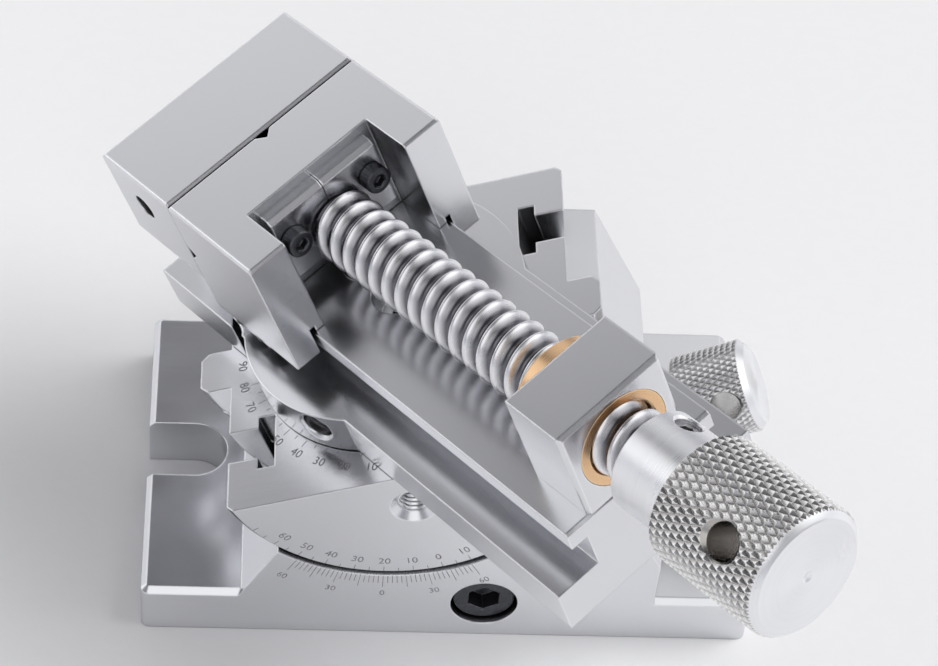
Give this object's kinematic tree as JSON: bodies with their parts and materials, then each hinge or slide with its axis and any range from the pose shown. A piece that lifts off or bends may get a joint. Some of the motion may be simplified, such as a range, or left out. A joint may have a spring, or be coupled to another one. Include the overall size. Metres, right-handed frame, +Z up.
{
  "type": "tilting precision vise",
  "caption": "Precision screw vise that swivels on a round disc above a worm-tilted segment in a slotted base, with knurled screw handle and tilt knob.",
  "frame": {"origin": "centre of the base's flat underside", "axes": "+X to the worm knob's side, +Y to the back, +Z up from the table"},
  "size_m": [0.1105, 0.128, 0.0978],
  "materials": {
    "ground_steel": "satin",
    "turned_steel": "polished",
    "knurled_steel": "knurled",
    "black_screw": "black oxide",
    "bronze": "turned"
  },
  "bodies": {
    "base": {"base_block": "ground_steel", "worm_bushing": "turned_steel", "lock_pad": "bronze"},
    "lock_screw": {"tilt_lock_screw": "black_screw"},
    "segment": {"tilt_segment": "ground_steel", "post_set_screw": "black_screw"},
    "worm": {"worm_shaft": "turned_steel", "tilt_knob": "knurled_steel", "knob_pin": "turned_steel"},
    "vise": {"vise_body": "ground_steel", "disc_set_screws": "black_screw", "swivel_post": "turned_steel", "post_bolt": "black_screw", "nut_block": "ground_steel", "block_screws": "black_screw", "screw_nut": "bronze"},
    "jaw": {"movable_jaw": "ground_steel", "left_keeper": "ground_steel", "right_keeper": "ground_steel", "keeper_screws": "black_screw", "left_retaining_plate": "ground_steel", "right_retaining_plate": "ground_steel", "plate_screws": "black_screw"},
    "feed_screw": {"lead_screw": "turned_steel", "screw_handle": "knurled_steel", "hub_set_screw": "black_screw"}
  },
  "joints": [
    {"name": "tilt", "type": "hinge", "parent": "base", "child": "segment", "pos_m": [-0.0109, 0, 0.0445], "axis": [0, -1, 0], "range_deg": [-20, 25]},
    {"name": "worm_spin", "type": "hinge", "parent": "base", "child": "worm", "pos_m": [0.0065, 0, 0.0096], "axis": [0.8949, 0, 0.4462], "range_deg": [-1805, 1445]},
    {"name": "lock_screw_turn", "type": "hinge", "parent": "base", "child": "lock_screw", "pos_m": [0.0059, -0.02, 0.0085], "axis": [0, 1, 0], "range_deg": [-180, 0]},
    {"name": "swivel", "type": "hinge", "parent": "segment", "child": "vise", "pos_m": [-0.0096, 0, 0.04093], "axis": [-0.342, 0, 0.9397], "range_deg": [-38.4, 141.6]},
    {"name": "jaw_slide", "type": "slide", "parent": "vise", "child": "jaw", "axis": [0.5837, -0.7837, 0.2124], "range_m": [0, 0.045]},
    {"name": "screw_spin", "type": "hinge", "parent": "jaw", "child": "feed_screw", "pos_m": [0.028, -0.0627, 0.08292], "axis": [0.5837, -0.7837, 0.2124], "range_deg": [0, 4910]}
  ],
  "couplings": [
    {"joint": "worm_spin", "follows": "tilt", "ratio": -72},
    {"joint": "screw_spin", "follows": "jaw_slide", "rad_per_m": 1904}
  ]
}
